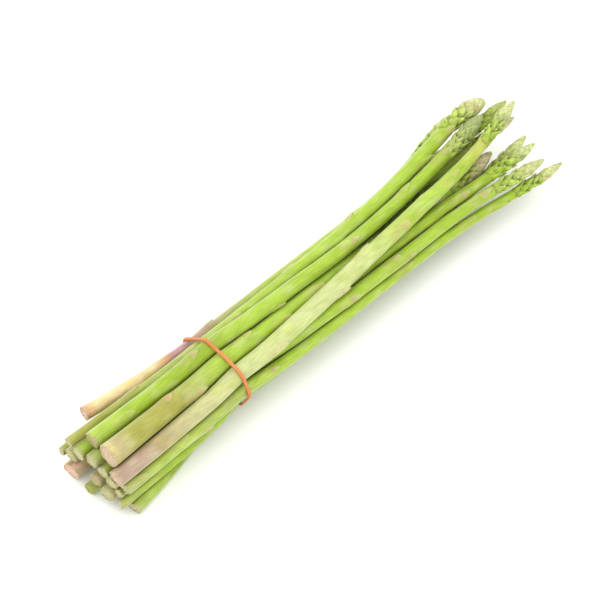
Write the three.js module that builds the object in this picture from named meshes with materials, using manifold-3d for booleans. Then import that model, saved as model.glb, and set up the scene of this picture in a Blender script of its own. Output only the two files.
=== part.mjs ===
// A bunch of twenty green asparagus spears that lies on a table, held by one rubber band.
// Sizes are in millimetres. +X runs along the bunch from the cut ends to the tips and +Z is
// up. The origin is the middle of the bunch's underside.

import * as THREE from 'three';
import { mergeVertices } from 'three/addons/utils/BufferGeometryUtils.js';
import { ConvexGeometry } from 'three/addons/geometries/ConvexGeometry.js';
import Module from 'manifold-3d';

const wasm = await Module();
wasm.setup();

// ---- Driving dimensions ----------------------------------------------------------------

const spearGap = 0.38;      // air between two neighbouring stems
const restDepth = 0.25;     // how far the lowest stems are flattened by the table
const headLength = 26;      // the scaly head, from its neck to its point
const thickStem = 7;        // stems of this diameter and more have the finer section
const stemSides = { thick: 10, thin: 8 };
const freeShare = 0.45;     // how much of the free height over it a scale may take

// A stem's thickness changes from its cut end by this power of the way to the band. The
// head is fullest half way to its peak share, and the point closes over its last length.
const taper = { buttPower: 0.7, headPeak: 1.25, pointLength: 10, pointPower: 0.6 };

const band = {
  x: -49.4,                 // where it goes round the bunch
  skew: 0.03,               // how far it leans towards the cut ends per mm across
  width: 1.5,
  thickness: 1,
  gap: 0.5,                 // from the stems' rounds to its inside
  lift: 1.85,               // how far it holds the lowest stems off the table
  reach: 22,                // over this length
  sides: 36,
  colour: 0xe8853f,
};

// The oval that the band squeezes the stems into.
// It widens by its flare for each mm away from the band.
const oval = {
  y: -0.7, z: 16.9, halfWidth: 18.3, halfHeight: 15.5, flare: 0.16, reach: 14, grip: 0.8,
};

// Stations along the bunch where the stems are packed against each other.
const stations = { first: -128, step: 16, count: 18 };

// Each round pushes stems that touch apart and pulls them back to their routes, less and
// less. The eases smooth the stems: at the start, at the end and in the last calm rounds.
const settling = {
  rounds: 400, calm: 80, push: 0.35, pull: 0.04, ease: 0.08, endEase: 0.012, calmEase: 0.004,
  guideEase: 0.15,
};

// A stem's rings keep this far from its cut end and from the first row of head scales.
const ringClearance = { butt: 7, neck: 8 };

// The head's scales stand in staggered rows. A row's roots lie on the slim core and its
// tips reach forward over the next row. Each tip's reach is drawn between two shares. In
// the closed cap at the point the scales are pressed flat, so the core fills most of it.
const scaleRow = {
  count: 9, start: -3, firstPitch: 3.8, lastPitch: 2.1, slim: 0.76, slimStart: -4,
  slimLength: 8, capLength: 14, capBlend: 5, capFill: 0.7, ringAt: 0.8, overhang: 0.35,
  rise: 0.25, leastReach: 0.8, mostReach: 1.2,
};

// A stem bract. It spans an angle round the stem on each side of its ridge, is widest at a
// share of its length, and falls to its tip.
const bract = {
  length: 7.6, halfAngle: 42, rise: 0.6, fall: 0.8, widest: 0.4, clearOfBand: 3,
};

// Bracts placed by rule start this far from the cut end, and their gaps close up from the
// low gap to the high one.
const bractRule = { first: 18, spread: 14, lowGap: 38, highGap: 20, neckClear: 6, vary: 0.2 };

// Each spear's diameters at its cut end, at the band, half way from there to the neck, at
// the neck and at the head's widest. Its route is [x, y, z] from the cut end to the tip, and
// its stem bracts are [x, degrees round the stem from -Y over the top]. A spear with no
// bracts listed has them placed by rule, and one with its own point power ends blunter.
const spears = [
  {
    name: 'spear_01', colour: 0xb9c65a,
    butt: 11, band: 8.4, mid: 6.8, neck: 5, head: 7.2,
    route: [[-117, -7.4, 28], [-88, -6.6, 27], [-48, -5.6, 26.2], [-14, -4.8, 24.5],
      [6, -3.6, 22], [26, -3.2, 20], [54, -5.4, 19.5], [92, -9.8, 19.5], [104, -7.4, 20],
      [116, -2.4, 20.5]],
    bracts: [[-85, 114], [-71, 22], [-38, 116], [-19, 38], [3, 52], [40, 200], [75, 19]],
  },
  {
    name: 'spear_02', colour: 0xcfd795,
    butt: 7.8, band: 7.9, mid: 7.6, neck: 4.9, head: 6.4,
    route: [[-120, -13, 23], [-85, -13.2, 22.5], [-48, -12.9, 22.2], [-7, -12.3, 26],
      [30, -10, 28.5], [69, -7.6, 29], [89, -7, 28.5], [106, -7.2, 28.5], [121, -2, 28],
      [130, 4.6, 27], [140.5, 6, 26]],
    bracts: [[-92, 250], [-30, 20], [9, -13], [29, 131], [50, 48], [68, 200], [85, 71]],
  },
  {
    name: 'spear_03', colour: 0xa9d24e,
    butt: 7.8, band: 7.6, mid: 6.2, neck: 5.8, head: 7.6,
    route: [[-116, 5.1, 27], [-87, 3.5, 27.5], [-48, 2, 27.6], [-6, -0.6, 28], [42, -0.8, 28],
      [66, 0.6, 27.5], [92, 4.8, 27], [99, 6, 27], [112, 9, 27], [125, 13, 25]],
    bracts: [[-101, 52], [-62, 103], [-17, -13], [29, 65], [50, 220], [65, 112], [91, 87]],
  },
  {
    name: 'spear_04', colour: 0xb0c764,
    butt: 4.6, band: 4.8, mid: 6.2, neck: 6.4, head: 9, pointPower: 0.36,
    route: [[-121, 14, 21], [-85, 9.9, 23.4], [-67, 8.4, 25], [-48, 8.3, 25.4], [-4, 6.6, 27],
      [44, 6.4, 27], [68, 7.9, 27.5], [85, 9.4, 28], [98, 13.4, 29], [110, 18.9, 31.8],
      [120, 22.6, 32.4], [128, 20.4, 28.4], [133, 16.2, 19]],
    bracts: [[-90, 120], [-34, 62], [0, 170], [25, 4], [36, 139], [60, 230], [83, 10], [100, 41]],
  },
  {
    name: 'spear_05', colour: 0xa9cf58,
    butt: 5.6, band: 5.6, mid: 5, neck: 4.5, head: 5,
    route: [[-118, -16.6, 17], [-85, -17, 16.5], [-48, -16, 15.6], [-22, -17.1, 15.6],
      [-5, -17.5, 15.8], [24, -18, 15.5], [53, -18.4, 15], [72, -18.7, 14.8],
      [92, -18.8, 14], [104, -21.4, 13], [116, -26, 13], [127, -28.2, 12.5],
      [138.8, -26.2, 12]],
    bracts: [[-114, 60], [-89, 81], [-77, 0], [-37, 62], [-2, 250], [44, 67], [66, 170],
      [81, 72], [97, 22]],
  },
  {
    name: 'spear_06', colour: 0xb2d35e,
    butt: 6, band: 6, mid: 5.9, neck: 5.2, head: 6,
    route: [[-120, -10.7, 16], [-85, -10.5, 15.6], [-48, -10.4, 14.8], [-5, -13.6, 19],
      [23, -14.6, 20], [51, -14.8, 20], [70, -14.7, 20.2], [90, -14.5, 20.6], [104, -18.1, 19.7],
      [119, -23.8, 19], [130.4, -23.4, 18.5]],
    bracts: [[-80, 40], [-24, 250], [12, 30], [39, 84], [46, 27], [70, 200], [91, 76]],
  },
  {
    name: 'spear_07', colour: 0xa9cc55,
    butt: 6, band: 6, mid: 5.8, neck: 5, head: 5.6,
    route: [[-119, -4, 17], [-85, -4.4, 17], [-48, -4.6, 17.6], [0, -8, 18.5], [20, -9.6, 20.5],
      [42, -10, 21.5], [66, -11.2, 22.2], [90, -12.6, 22.2], [108, -14.4, 21.5],
      [122, -15.5, 21], [133, -14.6, 20.5]],
    bracts: [[-90, 60], [-30, 200], [10, 310], [44, 180], [66, 300], [84, 52]],
  },
  {
    name: 'spear_08', colour: 0xa8bc68,
    butt: 6.4, band: 5.8, mid: 5.4, neck: 4.2, head: 5.4, pointPower: 0.5,
    route: [[-121, -1.7, 10], [-85, -2, 10], [-48, -3, 11], [0, -4.5, 14], [60, -8, 15],
      [100, -9.9, 16], [118, -12.6, 15.6], [127, -11.8, 16], [135, -5.6, 18]],
  },
  {
    name: 'spear_09', colour: 0xe6c795,
    butt: 6.4, band: 4.4, mid: 4.6, neck: 3.8, head: 5,
    route: [[-104.6, 22, 17], [-83, 17.4, 18.2], [-68, 15, 19.2], [-51, 14.8, 19.8],
      [-35, 15, 20.4], [-14, 12.3, 21], [28, 10.6, 22], [57, 10.5, 21.8], [76, 10.1, 22.6],
      [91, 15.4, 24], [104, 20, 25], [116, 23, 25]],
  },
  {
    name: 'spear_10', colour: 0xa2b25a,
    butt: 4, band: 4.2, mid: 4.2, neck: 3.6, head: 4.6,
    route: [[-121.4, 18.5, 10], [-86, 15, 13.2], [-51, 15.8, 14.6], [-20, 14.8, 15],
      [10, 14, 14.5], [60, 13, 13.5], [96, 14.5, 14]],
  },
  {
    name: 'spear_11', colour: 0xa6c556,
    butt: 6.8, band: 6.2, mid: 5.8, neck: 4.8, head: 6.2,
    route: [[-120, 1.2, 19.5], [-85, 2, 19], [-48, 2, 19.4], [0, 3.5, 20.5], [60, 5, 20.5],
      [95, 8, 21.5], [116, 10.2, 20.5], [131, 10.2, 20], [142.5, 12, 18.8]],
  },
  {
    name: 'spear_12', colour: 0x9cbb4c,
    butt: 4.6, band: 4.8, mid: 4.8, neck: 4.2, head: 5,
    route: [[-121, -16.5, 8.4], [-86, -14.8, 10.4], [-48, -14.4, 9.8], [0, -13.4, 10],
      [40, -12, 11], [68, -11, 11], [98, -10.5, 11]],
  },
  {
    name: 'spear_13', colour: 0x9cc447,
    butt: 5.8, band: 5.6, mid: 5.4, neck: 4.6, head: 5.4,
    route: [[-116, -20.2, 3.2], [-82, -15.7, 3.8], [-48, -11.2, 5.2], [0, -8.5, 2.2],
      [60, -7, 1.8], [104, -6, 3]],
  },
  {
    name: 'spear_14', colour: 0xa0c24a,
    butt: 6.6, band: 6, mid: 5.6, neck: 4.6, head: 5,
    route: [[-121, 7.8, 19], [-85, 8, 18.5], [-48, 8.4, 19], [0, 7.5, 20.5], [60, 8, 18],
      [100, 7.8, 16], [122, 6.4, 15.6], [140, 4.2, 16.2]],
  },
  {
    name: 'spear_15', colour: 0xb3b877,
    butt: 7, band: 6.2, mid: 5.7, neck: 4.6, head: 5.6,
    route: [[-121, 13.5, 11.5], [-85, 12, 11.8], [-48, 11.2, 12.6], [0, 12, 11],
      [60, 13.5, 10], [108, 17.5, 11]],
  },
  {
    name: 'spear_16', colour: 0xd4b48c,
    butt: 8.4, band: 6.6, mid: 5.9, neck: 4.6, head: 5.6,
    route: [[-123, 11.8, 4.8], [-85, 12, 4.2], [-48, 9.2, 6.4], [0, 9, 2.4], [60, 9, 1.8],
      [98, 11, 3]],
  },
  {
    name: 'spear_17', colour: 0xa6b85a,
    butt: 5.4, band: 5.8, mid: 5.5, neck: 4.6, head: 5.6,
    route: [[-123, 0.4, 2.8], [-85, -1, 3], [-48, -1.8, 5], [0, -2, 2], [60, -1, 1.8],
      [108, 0, 3]],
  },
  {
    name: 'spear_18', colour: 0xb5b67a,
    butt: 7.2, band: 6.4, mid: 5.9, neck: 4.8, head: 5.6,
    route: [[-121.5, -9, 7.5], [-85, -8.8, 7.5], [-48, -7.8, 9], [0, -7, 9], [60, -5, 9.5],
      [106, -3, 11]],
  },
  {
    name: 'spear_19', colour: 0x98b944,
    butt: 4.4, band: 4.6, mid: 4.6, neck: 4, head: 4.8,
    route: [[-119.5, -14.8, 12], [-85, -13.4, 12], [-48, -12.8, 13], [0, -10.8, 13.6],
      [50, -11.6, 15.6], [94, -12.8, 15.2]],
  },
  {
    name: 'spear_20', colour: 0xa3c050,
    butt: 5.6, band: 5.6, mid: 5.4, neck: 4.6, head: 5.6,
    route: [[-112, 5, 9], [-85, 4.4, 9], [-48, 4, 11.8], [0, 4, 11], [60, 4.5, 11],
      [102, 7.5, 9.5]],
  },
];

// ---- Small helpers ---------------------------------------------------------------------

const { clamp, degToRad, radToDeg } = THREE.MathUtils;
const goldenAngle = Math.PI * (3 - Math.sqrt(5));

// A seeded draw between 0 and 1, the same on every run.
function makeDraw(seed) {
  let state = seed >>> 0;
  return () => {
    state = (Math.imul(state, 1664525) + 1013904223) >>> 0;
    return state / 2 ** 32;
  };
}

function stationX(k) {
  return stations.first + k * stations.step;
}

// ---- A spear's thickness and its guide line --------------------------------------------

function endsOf(spear) {
  const buttX = spear.route[0][0];
  const tipX = spear.route.at(-1)[0];
  return { buttX, tipX, neckX: tipX - headLength };
}

// The room a spear takes up at x: a taper from the cut end to the band, a curve through the
// three diameters from there to the neck, a swelling over the head, and a blunt point. It
// is 0 past the ends, but for one station before the cut end.
function roomRadius(spear, x) {
  const { buttX, tipX, neckX } = endsOf(spear);
  if (x < buttX - stations.step || x > tipX + 1) {
    return 0;
  }
  let diameter;
  if (x < band.x) {
    const share = clamp((x - buttX) / (band.x - buttX), 0, 1);
    diameter = spear.butt + (spear.band - spear.butt) * share ** taper.buttPower;
  } else if (x < neckX) {
    const share = (x - band.x) / (neckX - band.x);
    diameter = spear.band * (1 - share) * (1 - 2 * share)
      + spear.mid * 4 * share * (1 - share)
      + spear.neck * share * (2 * share - 1);
  } else {
    const share = Math.min((x - neckX) / headLength / taper.headPeak, 1);
    diameter = spear.neck + (spear.head - spear.neck) * Math.sin(Math.PI * share);
  }
  const power = spear.pointPower ?? taper.pointPower;
  const point = clamp((tipX - x) / taper.pointLength, 0, 1) ** power;
  return diameter * point / 2;
}

// The stem inside its scales: as thick as its room on the stalk, slimmer inside the head and
// almost as thick again inside the closed cap.
function coreRadius(spear, x) {
  const { neckX, tipX } = endsOf(spear);
  const intoHead = clamp((x - neckX - scaleRow.slimStart) / scaleRow.slimLength, 0, 1);
  const intoCap = clamp((x - tipX + scaleRow.capLength) / scaleRow.capBlend, 0, 1);
  const slimming = (1 - scaleRow.slim) * intoHead * (1 - scaleRow.capFill * intoCap);
  return roomRadius(spear, x) * (1 - slimming);
}

// The route's y or z at x, straight from point to point.
function alongRoute(route, x, axis) {
  let k = 1;
  while (k < route.length - 1 && x > route[k][0]) {
    k += 1;
  }
  const share = (x - route[k - 1][0]) / (route[k][0] - route[k - 1][0]);
  const limit = k === route.length - 1 ? Math.min(share, 1) : share;
  return route[k - 1][axis] + (route[k][axis] - route[k - 1][axis]) * limit;
}

// ---- Settling: the stems push each other clear, rest on the table, fill the band --------

function smoothed(row, weight) {
  return row.map((value, k) => {
    if (k === 0 || k === row.length - 1) {
      return value;
    }
    return value + weight * (row[k - 1] - 2 * value + row[k + 1]);
  });
}

function settle() {
  const ks = [...Array(stations.count).keys()];
  const room = spears.map((spear) => ks.map((k) => roomRadius(spear, stationX(k))));
  const guide = spears.map((spear) => [1, 2].map((axis) => (
    smoothed(ks.map((k) => alongRoute(spear.route, stationX(k), axis)), settling.guideEase))));
  const nearBand = (k, reach) => Math.exp(-(((stationX(k) - band.x) / reach) ** 2));
  const lift = ks.map((k) => band.lift * nearBand(k, band.reach));
  const grip = ks.map((k) => oval.grip * nearBand(k, oval.reach));
  let ys = guide.map((rows) => rows[0]);
  let zs = guide.map((rows) => rows[1]);

  const onTable = (rows) => rows.map((row, i) => row.map((z, k) => (
    room[i][k] > 0 ? Math.max(z, room[i][k] - restDepth + lift[k]) : z)));

  for (let round = 0; round < settling.rounds; round += 1) {
    const fade = 1 - round / settling.rounds;
    const newY = ys.map((row) => [...row]);
    const newZ = zs.map((row) => [...row]);
    for (let i = 0; i < spears.length; i += 1) {
      for (const k of ks) {
        for (let j = 0; j < spears.length; j += 1) {
          if (j === i || room[i][k] === 0 || room[j][k] === 0) {
            continue;
          }
          const dy = ys[i][k] - ys[j][k];
          const dz = zs[i][k] - zs[j][k];
          const apart = Math.hypot(dy, dz);
          const needed = room[i][k] + room[j][k] + spearGap;
          if (apart < needed) {
            newY[i][k] += (needed - apart) / apart * settling.push * dy;
            newZ[i][k] += (needed - apart) / apart * settling.push * dz;
          }
        }
        newY[i][k] += settling.pull * fade * (guide[i][0][k] - ys[i][k]);
        newZ[i][k] += settling.pull * fade * (guide[i][1][k] - zs[i][k]);
      }
    }
    zs = onTable(newZ);
    ys = newY;
    for (let i = 0; i < spears.length; i += 1) {
      for (const k of ks) {
        const offY = ys[i][k] - oval.y;
        const offZ = zs[i][k] - oval.z;
        const wider = oval.flare * Math.abs(stationX(k) - band.x) - room[i][k];
        const out = Math.hypot(offY / (oval.halfWidth + wider), offZ / (oval.halfHeight + wider));
        if (out > 1) {
          ys[i][k] -= offY * (1 - 1 / out) * grip[k];
          zs[i][k] -= offZ * (1 - 1 / out) * grip[k];
        }
      }
    }
    const early = round < settling.rounds - settling.calm;
    const easing = settling.endEase + (settling.ease - settling.endEase) * fade;
    const weight = early ? easing : settling.calmEase;
    ys = ys.map((row) => smoothed(row, weight));
    zs = onTable(zs.map((row) => smoothed(row, weight)));
  }
  return { ys, zs };
}

const settled = settle();

// A settled row read at x by a cubic through the four nearest stations.
function readRow(row, x) {
  const place = (x - stations.first) / stations.step;
  const k = clamp(Math.floor(place), 0, stations.count - 2);
  const t = place - k;
  const before = row[Math.max(k - 1, 0)];
  const after = row[Math.min(k + 2, stations.count - 1)];
  const slopeA = (row[k + 1] - before) / 2;
  const slopeB = (after - row[k]) / 2;
  const rise = row[k + 1] - row[k];
  return row[k] + t * (slopeA + t * (3 * rise - 2 * slopeA - slopeB
    + t * (slopeA + slopeB - 2 * rise)));
}

function centreAt(index, x) {
  return new THREE.Vector3(x, readRow(settled.ys[index], x), readRow(settled.zs[index], x));
}

// A point on or near a spear's skin: x along it, an angle round it from -Y over the top, and
// a height above its core.
function skinPoint(index, x, angle, height, radius = coreRadius(spears[index], x)) {
  const ahead = centreAt(index, x + 1).sub(centreAt(index, x - 1)).normalize();
  const side = ahead.clone().cross(new THREE.Vector3(0, 0, 1)).normalize();
  const top = side.clone().cross(ahead);
  const out = radius + height;
  return centreAt(index, x)
    .addScaledVector(side, out * Math.cos(angle))
    .addScaledVector(top, out * Math.sin(angle));
}

// ---- Solids ----------------------------------------------------------------------------

// A closed three.js geometry as a manifold solid, without the flat triangles at its poles.
function solidOf(geometry) {
  geometry.deleteAttribute('normal');
  geometry.deleteAttribute('uv');
  const merged = mergeVertices(geometry, 1e-4);
  const index = [...merged.index.array];
  const kept = [];
  for (let k = 0; k < index.length; k += 3) {
    const [a, b, c] = index.slice(k, k + 3);
    if (a !== b && b !== c && c !== a) {
      kept.push(a, b, c);
    }
  }
  return new wasm.Manifold(new wasm.Mesh({
    numProp: 3,
    vertProperties: new Float32Array(merged.attributes.position.array),
    triVerts: new Uint32Array(kept),
  }));
}

function geometryOf(solid) {
  const mesh = solid.getMesh();
  const geometry = new THREE.BufferGeometry();
  geometry.setAttribute('position', new THREE.BufferAttribute(mesh.vertProperties, 3));
  geometry.setIndex(new THREE.BufferAttribute(mesh.triVerts, 1));
  geometry.computeVertexNormals();
  return geometry;
}

// The free height over a spear's skin at x and angle, before the nearest other stem.
function freeHeight(index, x, angle) {
  const spot = skinPoint(index, x, angle, 0);
  let free = Infinity;
  for (let j = 0; j < spears.length; j += 1) {
    const radius = coreRadius(spears[j], x);
    if (j !== index && radius > 0) {
      const centre = centreAt(j, x);
      free = Math.min(free, Math.hypot(spot.y - centre.y, spot.z - centre.z) - radius);
    }
  }
  return free;
}

// Where each row of head scales has its roots: the rows close up towards the tip.
function scaleRows(spear) {
  const { neckX } = endsOf(spear);
  const rows = [];
  let x = neckX + scaleRow.start;
  for (let row = 0; row < scaleRow.count; row += 1) {
    const share = row / (scaleRow.count - 1);
    const pitch = scaleRow.firstPitch + (scaleRow.lastPitch - scaleRow.firstPitch) * share;
    rows.push({ x, pitch });
    x += pitch;
  }
  return rows;
}

// A spear without its bracts: a lathe turned from its taper and bent along the settled
// route. In the head each row of scales is two of its rings, a low one for the roots and
// one whose corners are by turns a tip and the valley beside it.
function stemSolid(index) {
  const spear = spears[index];
  const { buttX, tipX, neckX } = endsOf(spear);
  const isThick = Math.max(spear.butt, spear.band) >= thickStem;
  const sides = isThick ? stemSides.thick : stemSides.thin;
  const rings = [{ x: buttX }];
  for (let k = 0; k < stations.count; k += 1) {
    if (stationX(k) > buttX + ringClearance.butt && stationX(k) < neckX - ringClearance.neck) {
      rings.push({ x: stationX(k) });
    }
  }
  const draw = makeDraw(index + 101);
  const spread = scaleRow.mostReach - scaleRow.leastReach;
  scaleRows(spear).forEach(({ x, pitch }, row) => {
    rings.push({ x });
    const reaches = Array.from({ length: sides }, () => scaleRow.leastReach + spread * draw());
    rings.push({ x: x + scaleRow.ringAt * pitch, row, pitch, reaches });
  });

  const profile = [new THREE.Vector2(0, tipX)];
  for (const ring of [...rings].reverse()) {
    profile.push(new THREE.Vector2(1, ring.x));
  }
  profile.push(new THREE.Vector2(0, buttX));
  const geometry = new THREE.LatheGeometry(profile, sides);
  const position = geometry.attributes.position;
  const cornerOut = 2 / (1 + Math.cos(Math.PI / sides));
  const tipAhead = 1 - scaleRow.ringAt + scaleRow.overhang;
  for (let k = 0; k < position.count; k += 1) {
    const column = Math.floor(k / profile.length) % sides;
    const ring = rings[rings.length - k % profile.length];
    let x = position.getY(k);
    const angle = (column + 0.5) * 2 * Math.PI / sides - Math.PI / 2;
    let radius = coreRadius(spear, x) * cornerOut;
    if (k % profile.length === 0 || k % profile.length === profile.length - 1) {
      radius = 0;
    } else if (ring.reaches && (column + ring.row) % 2 === 0) {
      const reach = ring.reaches[column];
      x += tipAhead * ring.pitch * reach;
      const rise = (roomRadius(spear, x) - coreRadius(spear, x) + scaleRow.rise) * reach;
      radius = coreRadius(spear, x) + Math.min(rise, freeShare * freeHeight(index, x, angle));
    }
    const point = skinPoint(index, x, angle, 0, radius);
    position.setXYZ(k, point.x, point.y, point.z);
  }
  return solidOf(geometry);
}

// One bract: a pointed, ridged blade with its root sunk in the stem. It lies flatter where
// a neighbour is close.
function bractSolid(index, x, angle) {
  const half = degToRad(bract.halfAngle);
  const corner = (share, turn, height) => (
    skinPoint(index, x + share * bract.length, angle + turn * half, height));
  const ridge = (share, height) => {
    const free = freeShare * freeHeight(index, x + share * bract.length, angle);
    return corner(share, 0, Math.min(height, free));
  };
  return solidOf(new ConvexGeometry([
    corner(0, -0.6, -0.45),
    corner(0, 0.6, -0.45),
    corner(bract.widest, -1, -0.05),
    corner(bract.widest, 1, -0.05),
    corner(0.55, 0, -0.75),
    ridge(0.3, bract.rise),
    ridge(1, bract.rise * bract.fall),
  ]));
}

// The bracts of a spear that lists none: wide apart low down, closer towards the head.
function bractsByRule(index) {
  const { buttX, neckX } = endsOf(spears[index]);
  const draw = makeDraw(index + 11);
  const list = [];
  let x = buttX + bractRule.first + bractRule.spread * draw();
  let turn = 360 * draw();
  while (x < neckX - bractRule.neckClear) {
    list.push([x, turn]);
    const share = (x - buttX) / (neckX - buttX);
    const gap = bractRule.lowGap + (bractRule.highGap - bractRule.lowGap) * share;
    x += gap * (1 - bractRule.vary + 2 * bractRule.vary * draw());
    turn += radToDeg(goldenAngle);
  }
  return list;
}

function spearMesh(index, table) {
  const spear = spears[index];
  let solid = stemSolid(index);
  for (const [x, turn] of spear.bracts ?? bractsByRule(index)) {
    const fromBand = Math.abs(x + bract.length / 2 - band.x) - bract.length / 2;
    if (fromBand > bract.clearOfBand) {
      solid = solid.add(bractSolid(index, x, degToRad(turn)));
    }
  }
  const material = new THREE.MeshStandardMaterial({
    color: spear.colour, roughness: 0.5, metalness: 0,
  });
  const mesh = new THREE.Mesh(geometryOf(solid.subtract(table)), material);
  mesh.name = spear.name;
  return mesh;
}

// ---- The rubber band -------------------------------------------------------------------

// The inside of the band in one direction round the bunch: it lies on the stem that reaches
// furthest that way, so the band runs straight from one stem to the next.
function bandInside(turn) {
  const spots = spears.map((spear, index) => {
    const x = band.x - band.skew * readRow(settled.ys[index], band.x);
    const out = roomRadius(spear, x) + band.gap;
    const y = readRow(settled.ys[index], x) + out * Math.cos(turn);
    const z = readRow(settled.zs[index], x) + out * Math.sin(turn);
    return { y, z, far: y * Math.cos(turn) + z * Math.sin(turn) };
  });
  return spots.reduce((best, spot) => (spot.far > best.far ? spot : best));
}

// The band is a torus with a four-cornered section, whose corners are moved into place.
function bandMesh() {
  const ring = 10;
  const geometry = new THREE.TorusGeometry(ring, 1, 4, band.sides);
  const position = geometry.attributes.position;
  for (let k = 0; k < position.count; k += 1) {
    const turn = Math.atan2(position.getY(k), position.getX(k));
    const outwards = Math.hypot(position.getX(k), position.getY(k)) - ring;
    const corner = Math.round(Math.atan2(position.getZ(k), outwards) / (Math.PI / 2));
    const inside = bandInside(turn);
    const depth = corner === 0 || corner === -1 ? band.thickness : 0;
    const aside = corner === 0 || corner === 1 ? band.width / 2 : -band.width / 2;
    const y = inside.y + depth * Math.cos(turn);
    const z = inside.z + depth * Math.sin(turn);
    position.setXYZ(k, band.x - band.skew * y + aside, y, z);
  }
  const material = new THREE.MeshStandardMaterial({
    color: band.colour, roughness: 0.6, metalness: 0,
  });
  const mesh = new THREE.Mesh(geometryOf(solidOf(geometry)), material);
  mesh.name = 'rubber_band';
  return mesh;
}

// ---- The bunch -------------------------------------------------------------------------

// Everything below z = 0, which flattens the lowest stems where they rest.
const tableBlock = new THREE.BoxGeometry(400, 200, 20);
tableBlock.translate(0, 0, -10);
const table = solidOf(tableBlock);

const group = new THREE.Group();
for (let index = 0; index < spears.length; index += 1) {
  group.add(spearMesh(index, table));
}
group.add(bandMesh());

const box = new THREE.Box3().setFromObject(group);
const middle = box.getCenter(new THREE.Vector3());
group.position.set(-middle.x, -middle.y, -box.min.z);

export default group;
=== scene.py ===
import math

import bpy
import numpy as np
from mathutils import Matrix, Vector


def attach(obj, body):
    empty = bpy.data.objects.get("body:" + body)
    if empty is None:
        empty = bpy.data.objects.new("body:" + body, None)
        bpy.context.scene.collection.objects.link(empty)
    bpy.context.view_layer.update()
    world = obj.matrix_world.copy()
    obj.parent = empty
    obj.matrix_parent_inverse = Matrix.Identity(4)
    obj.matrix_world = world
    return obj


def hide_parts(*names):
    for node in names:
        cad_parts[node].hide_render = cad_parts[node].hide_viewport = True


# A bunch of asparagus, held by one rubber band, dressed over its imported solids.
# Stems are worked out in millimetres, with +X from the cut ends to the tips and +Z up.
# They are laid where the solids are and go into Blender in metres.

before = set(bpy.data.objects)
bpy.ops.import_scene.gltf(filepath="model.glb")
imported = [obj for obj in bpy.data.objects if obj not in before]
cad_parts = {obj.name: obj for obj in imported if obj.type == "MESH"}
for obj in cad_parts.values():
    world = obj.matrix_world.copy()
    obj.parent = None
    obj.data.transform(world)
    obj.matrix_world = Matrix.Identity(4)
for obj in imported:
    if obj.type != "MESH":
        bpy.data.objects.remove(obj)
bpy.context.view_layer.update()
mm = 0.001

# How the stems lie. Lengths are in millimetres.
layout = {
    "gap": 0.38,               # air between two neighbouring stems
    "restDepth": 0.25,         # how far the lowest stems are flattened by the table
    "softDepth": 0.3,          # over this height they flatten softly
    "headLength": 26,
    "thickStem": 7,            # stems of this diameter have ten columns of scales, others eight
    "freeShare": 0.45,         # how much of the free height over it a scale may take
    "buttPower": 0.7, "headPeak": 1.25, "pointLength": 10, "pointPower": 0.6,
}
stations = {"first": -128, "step": 16, "count": 18}    # where a settled stem is worked out
# How many rounds settle the stems, and by which shares they move in a round
settling = {
    "rounds": 400, "calm": 80, "push": 0.35, "pull": 0.04, "ease": (0.012, 0.08),
    "calmEase": 0.004, "guideEase": 0.15,
}
# The rubber band, and how it lifts and holds the stems within its reach
band = {
    "x": -49.4, "skew": 0.03, "gap": 0.5, "lift": 1.85, "reach": 22,
    "width": 1.5, "thickness": 1.0, "rings": 420, "corners": 16,
    "samples": 1440, "easing": 14,     # turns tried, and rounds that ease the loop
    "twist": 0.08, "stray": 0.12,      # in radians, and in mm along the bunch
    # the second colour is a painted highlight on the band's outer face
    "rubber": "#E4803A", "outerHighlight": "#EE9C60",
}
# The oval that the band squeezes them into, which flares away from it
oval = {
    "y": -0.7, "z": 16.9, "halfWidth": 18.3, "halfHeight": 15.5, "flare": 0.16, "reach": 14,
    "grip": 0.8,
}
# The rows of a head's scales from the neck up, and the closed cap at its point
scaleRow = {
    "seed": 101, "count": 9, "start": -3, "pitch": (3.8, 2.1), "slim": 0.76, "slimStart": -4,
    "slimLength": 8, "capLength": 14, "capBlend": 5, "capFill": 0.7,
    "ringAt": 0.8, "overhang": 0.35, "rise": 0.25, "reach": (0.8, 1.2),
}
# Where bracts stand on a stem that lists none
bractRule = {
    "seed": 11, "first": 18, "spread": 14, "gap": (38, 20), "neckClear": 6, "vary": 0.2,
}

# The colours of the skin, the dry bracts, the cut flesh and the heads
palette = {
    "cream": "#FFE1AA", "peach": "#EEB27A", "rose": "#CC9C9C", "mauve": "#BFA28C",
    "sand": "#C6B684", "buff": "#D0CD90", "straw": "#E6D878", "olive": "#B2B050",
    "moss": "#ACB24C", "sage": "#B6C468", "pale": "#D3DC92", "mint": "#BAD356",
    "lime": "#B3D146", "leaf": "#AAC834", "grass": "#A0BB2C", "deep": "#98AF20",
    "ash": "#AEBE74", "bud": "#B8C868", "chalk": "#CED688", "bark": "#CABE90",
    "flesh": "#D2D096", "blush": "#E0C6A2", "husk": "#D2B090", "rust": "#E2B084",
    "salmon": "#F2CCAE", "hay": "#C8CC58",
    # shade is a painted shade for the core seen between a head's scales; bloom is the pale wax and
    # also serves for painted highlights
    "shade": "#55741A", "fresh": "#A4C41C", "bloom": "#DCE6B0", "scar": "#A98A76",
}

# The colours of a spear's cut face, its dry bracts and its head's scales (low, high and
# stained), where the spear names no others
usual = {"cut": "flesh", "dry": "husk", "scales": ("grass", "sage", "olive")}

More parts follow.
